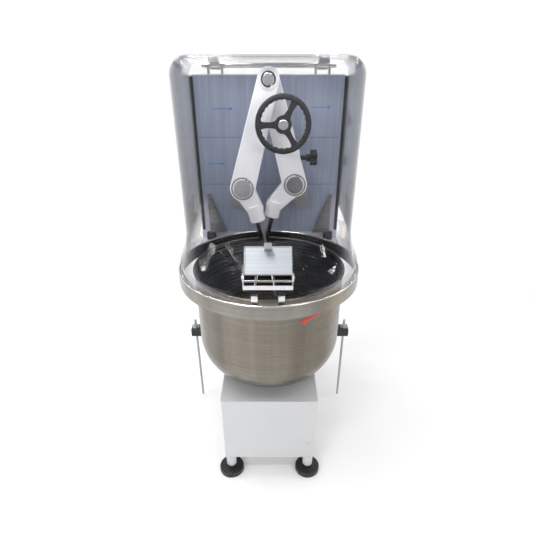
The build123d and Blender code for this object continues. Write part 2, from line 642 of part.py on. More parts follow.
for side, sleeve_x, y, label in ((-1, TOOL_L_X, ARM_L_Y, "tool_left"), (1, TOOL_R_X, ARM_R_Y, "tool_right")):
    lean = tan(radians(SLEEVE_LEAN))
    top = Vector(on_axis(side, sleeve_x, SLEEVE_Z + 10), y, SLEEVE_Z + 10)
    mouth = Vector(on_axis(side, sleeve_x, SLEEVE_Z - 40), y, SLEEVE_Z - 40)
    knee = Vector(on_axis(side, sleeve_x, SLEEVE_Z - 110), y - 6, SLEEVE_Z - 110)
    low = Vector(on_axis(side, sleeve_x, SLEEVE_Z - 260), y - 80, SLEEVE_Z - 260)
    tip = Vector(on_axis(side, sleeve_x, SLEEVE_Z - 330), y - 112, SLEEVE_Z - 380)
    down = Vector(-side * lean, 0, -1)
    with BuildPart() as tool:
        with BuildLine() as path:
            Line(top, mouth)
            Spline(mouth, knee, low, tip, tangents=[down, Vector(-side * lean, -0.2, -1)])
        with BuildSketch(Plane(top, z_dir=down)):
            Circle(TOOL_R)
        sweep()
        add(rod_x(PADDLE_R, tip.Y, tip.Z, tip.X - PADDLE_HALF, tip.X + PADDLE_HALF))
        for x in (tip.X - PADDLE_HALF, tip.X + PADDLE_HALF):
            add(Sphere(PADDLE_R, mode=Mode.PRIVATE).moved(Location((x, tip.Y, tip.Z))))
            add(rod_z(PRONG_R, x, tip.Y, tip.Z, tip.Z + PRONG_H))
            add(Sphere(PRONG_R, mode=Mode.PRIVATE).moved(Location((x, tip.Y, tip.Z + PRONG_H))))
    save(tool, label)

# ---- handwheel, star knob --------------------------------------------------------------
with BuildPart() as handwheel:
    with BuildSketch(Plane.XZ.offset(-WHEEL_Y)):
        with Locations((WHEEL_X, WHEEL_Z)):
            Circle(WHEEL_R)
            Circle(WHEEL_R - WHEEL_RIM_W, mode=Mode.SUBTRACT)
            with PolarLocations(WHEEL_R - WHEEL_RIM_W + 5, 21):
                Circle(7)
            Circle(22)
            for turn in (60, 180, 300):
                with Locations(Location((0, 0, 0), (0, 0, turn))):
                    with Locations((WHEEL_R / 2, 0)):
                        Rectangle(WHEEL_R - 6, 16)
    extrude(amount=WHEEL_T)
    fillet(handwheel.edges().filter_by(GeomType.CIRCLE).filter_by(lambda e: abs(e.radius - WHEEL_R) < 0.1), 5)
    add(rod_y(16, WHEEL_X, WHEEL_Z, WHEEL_Y, WHEEL_Y + 22))
    add(rod_y(STEM_R, WHEEL_X, WHEEL_Z, WHEEL_Y + 22, ARM_R_Y + ARM_T / 2 - 8))
save(handwheel, "handwheel")

WHEEL_FRONT = WHEEL_Y - WHEEL_T
with BuildPart() as wheel_cap:
    add(rod_y(15, WHEEL_X, WHEEL_Z, WHEEL_FRONT - 4, WHEEL_FRONT))
    chamfer(wheel_cap.edges().group_by(Axis.Y)[0], 1.5)
save(wheel_cap, "wheel_cap")

with BuildPart() as star_knob:
    with BuildSketch(Plane.YZ.offset(KNOB_X)):
        with Locations((ARM_R_Y, KNOB_Z)):
            Circle(KNOB_R - 8)
            with PolarLocations(KNOB_R - 8, 5):
                Circle(8)
    extrude(amount=22)
    add(rod_x(12, ARM_R_Y, KNOB_Z, KNOB_X - 14, KNOB_X))
    add(rod_x(STEM_R, ARM_R_Y, KNOB_Z, BOSS_X - 26, KNOB_X - 14))
save(star_knob, "star_knob")

# ---- hood ------------------------------------------------------------------------------
def hood_plan(inset, extra):
    """Plan of the tall part of the hood, open towards the column."""
    with BuildSketch(mode=Mode.PRIVATE) as plan:
        with BuildLine():
            Polyline((-HOOD_REAR_HALF_W + inset, HOOD_REAR_Y + extra),
                     (-HOOD_FRONT_HALF_W + inset, HOOD_FRONT_Y + inset),
                     (HOOD_FRONT_HALF_W - inset, HOOD_FRONT_Y + inset),
                     (HOOD_REAR_HALF_W - inset, HOOD_REAR_Y + extra), close=True)
        make_face()
        fillet(plan.vertices().group_by(Axis.Y)[0], HOOD_CORNER_R - inset)
    return plan.sketch


def hood_body(inset, extra):
    """Outer form of the hood, or its hollow when given a wall inset."""
    with BuildPart(mode=Mode.PRIVATE) as form:
        with BuildSketch(Plane.XY.offset(NECK_Z)):
            add(hood_plan(inset, extra))
        extrude(amount=HOOD_TOP_Z - inset - NECK_Z)
        roof = form.faces().sort_by(Axis.Z)[-1]
        fillet(roof.edges().sort_by(Axis.Y)[:-1], HOOD_ROOF_R - inset)
        with BuildSketch(Plane.XY.offset(LID_SHOULDER_Z - inset / 2)):
            with Locations((0, BOWL_Y)):
                Circle(LID_R - inset)
        with BuildSketch(Plane.XY.offset(NECK_Z)):
            add(hood_plan(inset, extra))
        loft()
        add(rod_z(LID_R - inset, 0, BOWL_Y, LID_Z0 - extra, LID_SHOULDER_Z - inset / 2))
    return form.part


CHUTE_Y0 = FLAP_Y - 50
CHUTE_Y1 = FLAP_Y + FLAP_LEN * cos(radians(FLAP_TILT)) + 4
with BuildPart() as hood:
    add(hood_body(0, 0))
    add(hood_body(HOOD_WALL, 2), mode=Mode.SUBTRACT)
    add(plate(-CHEEK_X - 1, CHEEK_X + 1, CHUTE_Y0 + 2, CHUTE_Y1, LID_SHOULDER_Z + 2, NECK_Z + 40),
        mode=Mode.SUBTRACT)
    add(plate(-REAR_MOUTH_HALF_W, REAR_MOUTH_HALF_W, REAR_MOUTH_Y, PANEL_Y + 5, LID_Z0 - 5, NECK_Z + 15),
        mode=Mode.SUBTRACT)
save(hood, "hood")

# ---- feed chute and flap ---------------------------------------------------------------
CHEEK_T = 2.0
FLAP_RISE = FLAP_LEN * sin(radians(FLAP_TILT))
FLAP_RUN = FLAP_LEN * cos(radians(FLAP_TILT))
CHUTE_FOOT_Z = LID_SHOULDER_Z + 10
FLAP_PIN_R = 3.0
with BuildPart() as chute:
    for side in (-1, 1):
        with BuildSketch(Plane.YZ.offset(side * CHEEK_X - CHEEK_T / 2)):
            with BuildLine():
                Polyline((CHUTE_Y0 + 2, CHUTE_FOOT_Z), (CHUTE_Y1, CHUTE_FOOT_Z + 30), (CHUTE_Y1, FLAP_Z + FLAP_RISE + 4),
                         (FLAP_Y + FLAP_RUN - 8, FLAP_Z + FLAP_RISE + 4), (FLAP_Y - 10, FLAP_Z + 2),
                         (CHUTE_Y0 + 2, CHUTE_FOOT_Z + 14), close=True)
            make_face()
        extrude(amount=CHEEK_T)
    add(plate(-CHEEK_X, CHEEK_X, CHUTE_Y1 - CHEEK_T, CHUTE_Y1, CHUTE_FOOT_Z + 30, FLAP_Z + FLAP_RISE + 3))
    add(plate(-CHEEK_X, CHEEK_X, CHUTE_Y0 + 2, CHUTE_Y0 + 2 + CHEEK_T, CHUTE_FOOT_Z, CHUTE_FOOT_Z + 13))
    add(rod_x(3, CHUTE_Y0 + 24, CHUTE_FOOT_Z + 16, -CHEEK_X, CHEEK_X))
    for side in (-1, 1):
        bracket_x = side * (CHEEK_X + CHEEK_T / 2)
        x0 = min(bracket_x, bracket_x + side * 3)
        add(plate(x0, x0 + 3, FLAP_Y - 26, FLAP_Y - 8, FLAP_Z - 10, FLAP_Z + 8))
        add(rod_x(4, FLAP_Y - 17, FLAP_Z - 1, min(bracket_x + side * 3, bracket_x + side * 6),
                  max(bracket_x + side * 3, bracket_x + side * 6)))
    for side in (-1, 1):
        add(rod_x(FLAP_PIN_R + RUN_FIT, FLAP_Y, FLAP_Z, side * CHEEK_X - 4, side * CHEEK_X + 4), mode=Mode.SUBTRACT)
save(chute, "chute")

with BuildPart() as flap:
    with BuildSketch(Plane.YZ.offset(-FLAP_W / 2)):
        with Locations(Location((FLAP_Y, FLAP_Z), FLAP_TILT)):
            with Locations((FLAP_LEN / 2, 0)):
                Rectangle(FLAP_LEN, FLAP_T)
    extrude(amount=FLAP_W)
    add(rod_x(FLAP_PIN_R, FLAP_Y, FLAP_Z, -CHEEK_X - 6, CHEEK_X + 6))
save(flap, "flap")


with BuildPart() as flap_handle:
    with BuildSketch(Plane.YZ.offset(-11)):
        with Locations(Location((FLAP_Y, FLAP_Z), FLAP_TILT)):
            with Locations((FLAP_LEN - 7, FLAP_T / 2 + 1.5)):
                Rectangle(14, 3)
            with Locations((FLAP_LEN - 1.5, FLAP_T / 2 + 14)):
                Rectangle(3, 28)
            with Locations((FLAP_LEN - 9, FLAP_T / 2 + 28)):
                Rectangle(18, 3)
    extrude(amount=22)
save(flap_handle, "flap_handle")

# ---- hood hinge ------------------------------------------------------------------------
HINGE_R = 8.0
HINGE_X = 180.0
HINGE_W = 46.0
with BuildPart() as hinge_rod:
    add(rod_x(HINGE_R, HINGE_Y, HINGE_Z, -HINGE_X - HINGE_W, HINGE_X + HINGE_W))
save(hinge_rod, "hinge_rod")

BRACKET_T = 8.0
with BuildPart() as hinge_brackets:
    for side in (-1, 1):
        for offset in (-HINGE_W / 2, HINGE_W / 2):
            x = side * HINGE_X + offset
            add(plate(x - BRACKET_T / 2, x + BRACKET_T / 2, HINGE_Y - 13, HINGE_Y + 13, COL_TOP_Z, HINGE_Z))
            add(rod_x(13, HINGE_Y, HINGE_Z, x - BRACKET_T / 2, x + BRACKET_T / 2))
    add(rod_x(HINGE_R, HINGE_Y, HINGE_Z, -400, 400), mode=Mode.SUBTRACT)
save(hinge_brackets, "hinge_brackets")

LEAF_HALF = HINGE_W / 2 - BRACKET_T / 2 - 2
with BuildPart() as hood_leaves:
    for side in (-1, 1):
        x0 = side * HINGE_X - LEAF_HALF
        x1 = side * HINGE_X + LEAF_HALF
        add(rod_x(13, HINGE_Y, HINGE_Z, x0, x1))
        add(plate(x0, x1, HOOD_REAR_Y - 40, HINGE_Y, HINGE_Z + 8, HINGE_Z + 13))
        add(plate(x0, x1, HOOD_REAR_Y - 40, HOOD_REAR_Y - 2, HINGE_Z + 8, HOOD_TOP_Z - HOOD_WALL))
    add(rod_x(HINGE_R + RUN_FIT, HINGE_Y, HINGE_Z, -400, 400), mode=Mode.SUBTRACT)
save(hood_leaves, "hood_leaves")

LID_TAB_X = 38.0
with BuildPart() as lid_brackets:
    for x in (-LID_TAB_X, LID_TAB_X):
        tab_y = BOWL_Y - (LID_R * LID_R - (abs(x) + 10) ** 2) ** 0.5
        add(plate(x - 9, x + 9, tab_y + 0.5, tab_y + 14, LID_Z0 + 4, LID_Z0 + 34))
    add(rod_z(LID_R - HOOD_WALL, 0, BOWL_Y, LID_Z0, LID_Z0 + 50), mode=Mode.INTERSECT)
save(lid_brackets, "lid_brackets")

# ---- controls on the right of the column -----------------------------------------------
PANEL_X = COL_HALF_W
BOX_Y = 300.0
BOX_Z0 = 1010.0
BOX_Z1 = 1250.0
BOX_DEPTH = 18.0
BOX_FACE = PANEL_X + BOX_DEPTH
START_Z = 1115.0
ESTOP_Z = 1195.0
DIAL_Z = 1045.0
BUTTON_R = 10.0
with BuildPart() as control_box:
    add(plate(PANEL_X, BOX_FACE, BOX_Y - 45, BOX_Y + 45, BOX_Z0, BOX_Z1))
    fillet(control_box.edges().filter_by(Axis.X), 6)
    for z in (START_Z, ESTOP_Z, DIAL_Z):
        add(rod_x(BUTTON_R + AIR, BOX_Y, z, BOX_FACE - 12, BOX_FACE + 1), mode=Mode.SUBTRACT)
save(control_box, "control_box")

BUTTON_TRAVEL = 3.0
with BuildPart() as start_button:
    add(rod_x(BUTTON_R, BOX_Y, START_Z, BOX_FACE - 12 + BUTTON_TRAVEL, BOX_FACE + 4))
    chamfer(start_button.edges().group_by(Axis.X)[-1], 1)
save(start_button, "start_button")

with BuildPart() as stop_mushroom:
    add(rod_x(BUTTON_R, BOX_Y, ESTOP_Z, BOX_FACE - 12 + BUTTON_TRAVEL, BOX_FACE + 8))
    add(rod_x(19, BOX_Y, ESTOP_Z, BOX_FACE + 8, BOX_FACE + 20))
    fillet(stop_mushroom.edges().group_by(Axis.X)[-1], 5)
save(stop_mushroom, "stop_mushroom")

with BuildPart() as timer_dial:
    add(rod_x(BUTTON_R, BOX_Y, DIAL_Z, BOX_FACE - 12, BOX_FACE + 2))
    add(rod_x(17, BOX_Y, DIAL_Z, BOX_FACE + 2, BOX_FACE + 14))
    add(plate(BOX_FACE + 14, BOX_FACE + 18, BOX_Y - 2, BOX_Y + 2, DIAL_Z - 14, DIAL_Z + 14))
save(timer_dial, "timer_dial")

with BuildPart() as cable_gland:
    add(rod_y(12, -190, 200, COL_BACK_Y, COL_BACK_Y + SCREW_HEAD_T))
    add(rod_y(6, -190, 200, COL_BACK_Y - 1, COL_BACK_Y + 10), mode=Mode.SUBTRACT)
save(cable_gland, "cable_gland")

# ---- transport bar and its two threaded rods -------------------------------------------
BAR_Z0 = DECK_Z + DECK_T
BAR_Z1 = BAR_Z0 + TIE_BAR
TIE_BAR_D = 46.0
with BuildPart() as tie_bar:
    add(plate(-TIE_HALF, TIE_HALF, TIE_Y - TIE_BAR_D / 2, TIE_Y + TIE_BAR_D / 2, BAR_Z0, BAR_Z1))
    chamfer(tie_bar.edges().filter_by(Axis.X), 2)
    for x in (-TIE_X, TIE_X):
        add(rod_z(TIE_ROD_R + AIR, x, TIE_Y, BAR_Z0 - 1, BAR_Z1 + 1), mode=Mode.SUBTRACT)
save(tie_bar, "tie_bar")

with BuildPart() as tie_rods:
    for x in (-TIE_X, TIE_X):
        add(rod_z(TIE_ROD_R, x, TIE_Y, 20, BAR_Z1 + 36))
save(tie_rods, "tie_rods")

with BuildPart() as tie_nuts:
    for x in (-TIE_X, TIE_X):
        add(rod_z(14, x, TIE_Y, BAR_Z1, BAR_Z1 + 2.5))
        with BuildSketch(Plane.XY.offset(BAR_Z1 + 2.5)):
            with Locations((x, TIE_Y)):
                RegularPolygon(9.8, 6)
        extrude(amount=9)
        add(rod_z(TIE_ROD_R, x, TIE_Y, BAR_Z1 - 1, BAR_Z1 + 14), mode=Mode.SUBTRACT)
save(tie_nuts, "tie_nuts")
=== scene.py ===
"""Looks, light and camera for the twin-arm plunging mixer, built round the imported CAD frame."""

import math

import bmesh
import bpy
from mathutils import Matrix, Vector


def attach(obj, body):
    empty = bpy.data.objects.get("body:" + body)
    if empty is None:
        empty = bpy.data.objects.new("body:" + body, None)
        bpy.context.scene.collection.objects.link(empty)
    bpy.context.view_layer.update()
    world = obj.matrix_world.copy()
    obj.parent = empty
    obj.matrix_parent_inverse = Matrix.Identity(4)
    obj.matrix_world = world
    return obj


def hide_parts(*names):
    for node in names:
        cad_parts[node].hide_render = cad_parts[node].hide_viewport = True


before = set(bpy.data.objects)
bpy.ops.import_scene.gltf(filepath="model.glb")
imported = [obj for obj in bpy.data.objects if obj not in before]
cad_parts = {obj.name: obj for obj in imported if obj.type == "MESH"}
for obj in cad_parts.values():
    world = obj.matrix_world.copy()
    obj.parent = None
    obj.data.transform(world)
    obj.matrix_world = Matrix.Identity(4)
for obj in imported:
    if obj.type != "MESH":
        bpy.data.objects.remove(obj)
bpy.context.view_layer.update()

# Places shared with the solids, in metres
BOWL_Y = -0.120
PANEL_Y = 0.180
RING_R = 0.300
WHEEL = (0.045, 1.220)
WHEEL_R = 0.086
TOP_PIN = (0.0, 1.341)
CRANK_PIN = (0.090, 1.011)
ARM_LEFT_FRONT = 0.010
ARM_RIGHT_FRONT = 0.062

# Small visual pieces, in metres
CLIP_INNER, CLIP_OUTER = 0.0335, 0.0385
CLIP_THICKNESS = 0.0015
CLIP_STEPS = 64
LUG_R = 0.0035
FACE_INNER, FACE_OUTER = 0.0292, 0.0336
FACE_LIFT = 0.0002
ANNULUS_THICKNESS = 0.0008
FILM_FACE = PANEL_Y - 0.0005
FILM_THICKNESS = 0.0004
ARROW_HEAD = 0.012
ARROW_HALF = 0.0011
SEAM_HALF = 0.0005
SEAM_REACH = 0.250
CIRCLE_LINE = 0.0007
EDGE_TUBE = 0.0032
EDGE_Z = 0.7985
FOOT_PAD_TOP = 0.0205

# Bowl sticker: radius in metres, turn round the bowl in degrees
STICKER_R = 0.2506
STICKER_Z = 0.715
STICKER_FROM, STICKER_TO = 40.0, 27.5
STICKER_DROP = 0.012
STICKER_STEPS = 14

# Handwheel moulding
WHEEL_STEPS = 216
SCALLOPS = 27
SPOKE_TURNS = (62, 182, 302)
SPOKE_STEPS = 12
SPOKE_FRONT, SPOKE_BACK = -0.0475, -0.0375
HUB_STEPS = 48

# Stage and lamps
FLOOR_HALF_W, FLOOR_FRONT, FLOOR_BACK = 4, -4.5, 1.15
CARD_HALF_W, CARD_FRONT, CARD_BACK, CARD_Z = 3.5, -3.5, 5.0, 3.1
CEILING_LAMP_Z = 3.0
TUBE_LAMP_Z = 2.9


# ---- materials ---------------------------------------------------------------------------
def material(name):
    """An empty Principled material, its node tree and its shader."""
    mat = bpy.data.materials.new(name)
    mat.use_nodes = True
    tree = mat.node_tree
    shader = tree.nodes["Principled BSDF"]
    return mat, tree, shader


def coordinates(tree, scale=(1, 1, 1)):
    """Object coordinates stretched by scale."""
    where = tree.nodes.new("ShaderNodeTexCoord")
    mapping = tree.nodes.new("ShaderNodeMapping")
    mapping.inputs["Scale"].default_value = scale
    tree.links.new(where.outputs["Object"], mapping.inputs["Vector"])
    return mapping.outputs["Vector"]


def noise(tree, vector, scale, detail=4.0, roughness=0.55):
    """Grey noise over the given coordinates."""
    node = tree.nodes.new("ShaderNodeTexNoise")
    node.inputs["Scale"].default_value = scale
    node.inputs["Detail"].default_value = detail
    node.inputs["Roughness"].default_value = roughness
    tree.links.new(vector, node.inputs["Vector"])
    return node.outputs["Fac"]


def ramp(tree, value, low, high, from_low=0.3, from_high=0.7):
    """Maps a 0..1 value onto low..high."""
    node = tree.nodes.new("ShaderNodeMapRange")
    node.inputs["From Min"].default_value = from_low
    node.inputs["From Max"].default_value = from_high
    node.inputs["To Min"].default_value = low
    node.inputs["To Max"].default_value = high
    tree.links.new(value, node.inputs["Value"])
    return node.outputs["Result"]


def mix_colour(tree, fac, first, second):
    """A colour between first (at 0) and second (at 1)."""
    node = tree.nodes.new("ShaderNodeMix")
    node.data_type = "RGBA"
    node.inputs["A"].default_value = (*first, 1)
    node.inputs["B"].default_value = (*second, 1)
    tree.links.new(fac, node.inputs["Factor"])
    return node.outputs["Result"]


def bump(tree, shader, height, strength, distance):
    """Raises the shader's surface by a height."""
    node = tree.nodes.new("ShaderNodeBump")
    node.inputs["Strength"].default_value = strength
    node.inputs["Distance"].default_value = distance
    tree.links.new(height, node.inputs["Height"])
    tree.links.new(node.outputs["Normal"], shader.inputs["Normal"])


def paint(name, colour, dark, rough=0.32, peel=0.12):
    """Stove enamel: light orange peel, slight dust and handling marks."""
    mat, tree, shader = material(name)
    where = coordinates(tree)
    patches = noise(tree, where, 3.0, 6.0)
    tree.links.new(mix_colour(tree, ramp(tree, patches, 0.0, 1.0), colour, dark),
                   shader.inputs["Base Color"])
    tree.links.new(ramp(tree, noise(tree, where, 9.0, 8.0), rough - 0.06, rough + 0.1),
                   shader.inputs["Roughness"])
    bump(tree, shader, noise(tree, where, 420.0, 2.0), peel, 0.0004)
    shader.inputs["Coat Weight"].default_value = 0.25
    shader.inputs["Coat Roughness"].default_value = 0.15
    return mat


def brushed(name, colour, dark, stretch, rough=0.26, depth=0.10):
    """Brushed stainless: fine lines along one way, faint smears across."""
    mat, tree, shader = material(name)
    lines = noise(tree, coordinates(tree, stretch), 60.0, 6.0, 0.7)
    smears = noise(tree, coordinates(tree), 4.0, 5.0)
    tree.links.new(mix_colour(tree, ramp(tree, lines, 0.0, 1.0), colour, dark),
                   shader.inputs["Base Color"])
    shader.inputs["Metallic"].default_value = 1.0
    total = tree.nodes.new("ShaderNodeMath")
    total.operation = "ADD"
    tree.links.new(ramp(tree, lines, rough - 0.06, rough + 0.08), total.inputs[0])
    tree.links.new(ramp(tree, smears, -0.03, 0.06), total.inputs[1])
    tree.links.new(total.outputs["Value"], shader.inputs["Roughness"])
    bump(tree, shader, lines, depth, 0.0005)
    return mat


def turned(name, colour, dark, rough=0.27, painted_band_depth=0.55):
    """Steel brushed round a vertical axis: fine level lines, and soft upright bands of painted reflection,
    lighter and darker, in the colour.
    """
    mat, tree, shader = material(name)
    lines = noise(tree, coordinates(tree, (0.02, 0.02, 6.0)), 90.0, 5.0, 0.7)
    # painted reflection: soft upright light and dark bands multiplied into the base colour
    bands = noise(tree, coordinates(tree, (1.0, 1.0, 0.03)), 7.0, 3.0, 0.6)
    fine = mix_colour(tree, ramp(tree, lines, 0.0, 1.0), colour, dark)
    shade = tree.nodes.new("ShaderNodeMix")
    shade.data_type = "RGBA"
    shade.blend_type = "MULTIPLY"
    shade.inputs["Factor"].default_value = 1.0
    tree.links.new(fine, shade.inputs["A"])
    tree.links.new(mix_colour(tree, ramp(tree, bands, 0.0, 1.0), (1, 1, 1), (painted_band_depth, painted_band_depth, painted_band_depth)),
                   shade.inputs["B"])
    tree.links.new(shade.outputs["Result"], shader.inputs["Base Color"])
    shader.inputs["Metallic"].default_value = 1.0
    tree.links.new(ramp(tree, lines, rough - 0.05, rough + 0.07), shader.inputs["Roughness"])
    bump(tree, shader, lines, 0.06, 0.0004)
    return mat


def plastic(name, colour, rough=0.45, grain=0.15):
    """Moulded plastic or rubber: faint cloudiness and a fine grain."""
    mat, tree, shader = material(name)
    where = coordinates(tree)
    shade = tuple(min(1.0, c * 1.5 + 0.004) for c in colour)
    tree.links.new(mix_colour(tree, noise(tree, where, 14.0), colour, shade),
                   shader.inputs["Base Color"])
    tree.links.new(ramp(tree, noise(tree, where, 30.0, 6.0), rough - 0.08, rough + 0.12),
                   shader.inputs["Roughness"])
    bump(tree, shader, noise(tree, where, 900.0, 2.0), grain, 0.0003)
    return mat


def threaded(name, colour, pitch):
    """Bright zinc with thread ridges along Z, the grooves between them painted darker as shade."""
    mat, tree, shader = material(name)
    wave = tree.nodes.new("ShaderNodeTexWave")
    wave.bands_direction = "Z"
    wave.inputs["Scale"].default_value = 0.314 / pitch
    wave.inputs["Distortion"].default_value = 0.0
    tree.links.new(coordinates(tree), wave.inputs["Vector"])
    # painted shade: thread grooves darkened to 0.55 of the zinc colour
    tree.links.new(mix_colour(tree, wave.outputs["Fac"], tuple(c * 0.55 for c in colour), colour),
                   shader.inputs["Base Color"])
    shader.inputs["Metallic"].default_value = 1.0
    tree.links.new(ramp(tree, noise(tree, coordinates(tree), 90.0), 0.25, 0.42),
                   shader.inputs["Roughness"])
    bump(tree, shader, wave.outputs["Fac"], 0.6, 0.001)
    return mat


def clear_hood(name):
    """Clear polycarbonate: see-through face on, greyer at grazing angles, glossy and lightly scuffed."""
    mat, tree, shader = material(name)
    facing = tree.nodes.new("ShaderNodeLayerWeight")
    facing.inputs["Blend"].default_value = 0.30
    density = ramp(tree, facing.outputs["Facing"], 0.02, 0.80, 0.12, 0.80)
    scuff = noise(tree, coordinates(tree, (1, 1, 0.15)), 35.0, 8.0)
    total = tree.nodes.new("ShaderNodeMath")
    total.operation = "ADD"
    tree.links.new(density, total.inputs[0])
    tree.links.new(ramp(tree, scuff, -0.01, 0.03), total.inputs[1])
    tree.links.new(total.outputs["Value"], shader.inputs["Alpha"])
    tint = mix_colour(tree, facing.outputs["Facing"], (0.10, 0.11, 0.13), (0.12, 0.135, 0.155))
    tree.links.new(tint, shader.inputs["Base Color"])
    tree.links.new(ramp(tree, scuff, 0.03, 0.09), shader.inputs["Roughness"])
    shader.inputs["IOR"].default_value = 1.58
    shader.inputs["Coat Weight"].default_value = 1.0
    shader.inputs["Coat Roughness"].default_value = 0.02
    shader.inputs["Coat IOR"].default_value = 2.2
    return mat


def foot_material(name, split_z):
    """Black pad below split_z, bright threaded stem above it."""
    mat, tree, shader = material(name)
    where = tree.nodes.new("ShaderNodeTexCoord")
    parts = tree.nodes.new("ShaderNodeSeparateXYZ")
    tree.links.new(where.outputs["Object"], parts.inputs["Vector"])
    above = tree.nodes.new("ShaderNodeMath")
    above.operation = "GREATER_THAN"
    above.inputs[1].default_value = split_z
    tree.links.new(parts.outputs["Z"], above.inputs[0])
    tree.links.new(mix_colour(tree, above.outputs["Value"], (0.012, 0.012, 0.012), (0.62, 0.64, 0.66)),
                   shader.inputs["Base Color"])
    tree.links.new(above.outputs["Value"], shader.inputs["Metallic"])
    tree.links.new(ramp(tree, noise(tree, coordinates(tree), 60.0), 0.32, 0.5),
                   shader.inputs["Roughness"])
    wave = tree.nodes.new("ShaderNodeTexWave")
    wave.bands_direction = "Z"
    wave.inputs["Scale"].default_value = 150.0
    tree.links.new(coordinates(tree), wave.inputs["Vector"])
    bump(tree, shader, wave.outputs["Fac"], 0.25, 0.0006)
    return mat


WHITE = (0.64, 0.645, 0.66)
white_paint = paint("white_paint", WHITE, (0.59, 0.595, 0.605))
# White body paint seen in shade: the shade is painted in as a darker lilac-grey colour
lilac_paint = paint("lilac_paint", (0.52, 0.51, 0.60), (0.44, 0.43, 0.52), 0.38)
arm_paint = paint("arm_paint", (0.82, 0.82, 0.86), (0.76, 0.76, 0.80), 0.30, 0.25)
level_brushed = turned("level_brushed", (0.37, 0.355, 0.32), (0.26, 0.25, 0.22), 0.22, 0.62)
bowl_brushed = turned("bowl_brushed", (0.31, 0.28, 0.235), (0.22, 0.20, 0.165), 0.25, 0.42)
# Same steel as the guard ring made much lighter: a painted highlight along its real rolled top edge
painted_highlight_edge = brushed("painted_highlight_edge", (0.82, 0.82, 0.80), (0.70, 0.70, 0.68), (1.0, 1.0, 1.0), 0.14, 0.03)
sheet_brushed = brushed("sheet_brushed", (0.36, 0.36, 0.37), (0.24, 0.24, 0.25), (0.05, 2.0, 2.0))
flap_brushed = brushed("flap_brushed", (0.52, 0.55, 0.575), (0.40, 0.425, 0.45), (0.04, 2.5, 2.5), 0.36, 0.2)
film_steel = brushed("film_steel", (0.37, 0.41, 0.52), (0.27, 0.31, 0.42), (2.0, 2.0, 0.05), 0.42)
film_steel.node_tree.nodes["Principled BSDF"].inputs["Metallic"].default_value = 0.35
machined = brushed("machined", (0.42, 0.42, 0.44), (0.30, 0.30, 0.32), (1.0, 1.0, 1.0), 0.30)
pin_steel = brushed("pin_steel", (0.36, 0.36, 0.38), (0.24, 0.24, 0.26), (1.0, 1.0, 1.0), 0.34)
ring_steel = brushed("ring_steel", (0.62, 0.62, 0.66), (0.50, 0.50, 0.54), (1.0, 1.0, 1.0), 0.35)
# Lighter copy of pin_steel for the crank webs: the extra lightness is painted light offsetting their dark
# shading
web_steel = brushed("web_steel", (0.52, 0.52, 0.54), (0.40, 0.40, 0.42), (1.0, 1.0, 1.0), 0.38)
polished = brushed("polished", (0.80, 0.80, 0.81), (0.66, 0.66, 0.68), (1.0, 1.0, 1.0), 0.16, 0.04)
tool_steel = brushed("tool_steel", (0.28, 0.28, 0.29), (0.16, 0.16, 0.17), (1.0, 1.0, 0.3), 0.22, 0.04)
black_plastic = plastic("black_plastic", (0.006, 0.006, 0.0065), 0.55)
black_rubber = plastic("black_rubber", (0.014, 0.014, 0.014), 0.6)
dark_bar = plastic("dark_bar", (0.016, 0.016, 0.018), 0.5)
zinc = threaded("zinc", (0.62, 0.68, 0.70), 0.0015)
cast_grey = plastic("cast_grey", (0.10, 0.105, 0.11), 0.6, 0.5)
motor_paint = paint("motor_paint", (0.07, 0.11, 0.17), (0.05, 0.08, 0.13), 0.4)
green_plastic = plastic("green_plastic", (0.02, 0.30, 0.06), 0.35)
red_plastic = plastic("red_plastic", (0.50, 0.012, 0.012), 0.35)
hood_clear = clear_hood("hood_clear")
foot_black = foot_material("foot_black", FOOT_PAD_TOP)
film_print = plastic("film_print", (0.03, 0.16, 0.42), 0.5)
sticker_red = plastic("sticker_red", (0.55, 0.03, 0.02), 0.4)
film_faint = plastic("film_faint", (0.17, 0.25, 0.36), 0.5)
seam_dark = plastic("seam_dark", (0.03, 0.03, 0.035), 0.5)

LOOKS = {
    "pedestal": white_paint, "deck_plate": white_paint, "column_shell": white_paint,
    "rear_cover": white_paint, "leg_tubes": white_paint, "control_box": white_paint,
    "arm_left": arm_paint, "arm_right_upper": arm_paint, "arm_right_lower": arm_paint,
    # front frame, apron and shelf: white paint with its shade painted into the colour
    "front_frame": lilac_paint, "apron": lilac_paint, "shelf": lilac_paint,
    "back_panel": film_steel, "gussets": sheet_brushed, "guard_ring": level_brushed,
    "chute": polished, "flap": flap_brushed, "lid_brackets": polished, "hood_leaves": polished,
    "hinge_brackets": polished, "bowl": bowl_brushed, "bowl_spindle": machined,
    "crank_left": web_steel, "crank_right": web_steel, "gear_left": machined, "gear_right": machined,
    "crank_pulley": machined, "motor_pulley": machined, "bearing_left": ring_steel,
    "bearing_right": pin_steel, "bearing_plate": machined, "motor_shelf": machined, "hinge_rod": polished,
    "top_pin": polished, "wheel_cap": polished, "flap_handle": polished,
    "tool_left": tool_steel, "tool_right": tool_steel, "hood": hood_clear,
    "handwheel": black_plastic, "star_knob": black_plastic, "timer_dial": black_plastic,
    "cable_gland": black_plastic, "hood_stops": black_rubber, "edge_seals": black_rubber,
    "foot_fl": foot_black, "foot_fr": foot_black, "foot_rl": foot_black, "foot_rr": foot_black,
    "tie_bar": dark_bar, "tie_rods": zinc, "tie_nuts": zinc, "cover_screws": zinc,
    "bowl_gearbox": cast_grey, "flange_bearings": cast_grey, "motor": motor_paint, "bowl_motor": motor_paint,
    "drive_belt": black_rubber, "start_button": green_plastic, "stop_mushroom": red_plastic,
}
for node_name, node_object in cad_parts.items():
    node_object.data.materials.clear()
    node_object.data.materials.append(LOOKS[node_name])


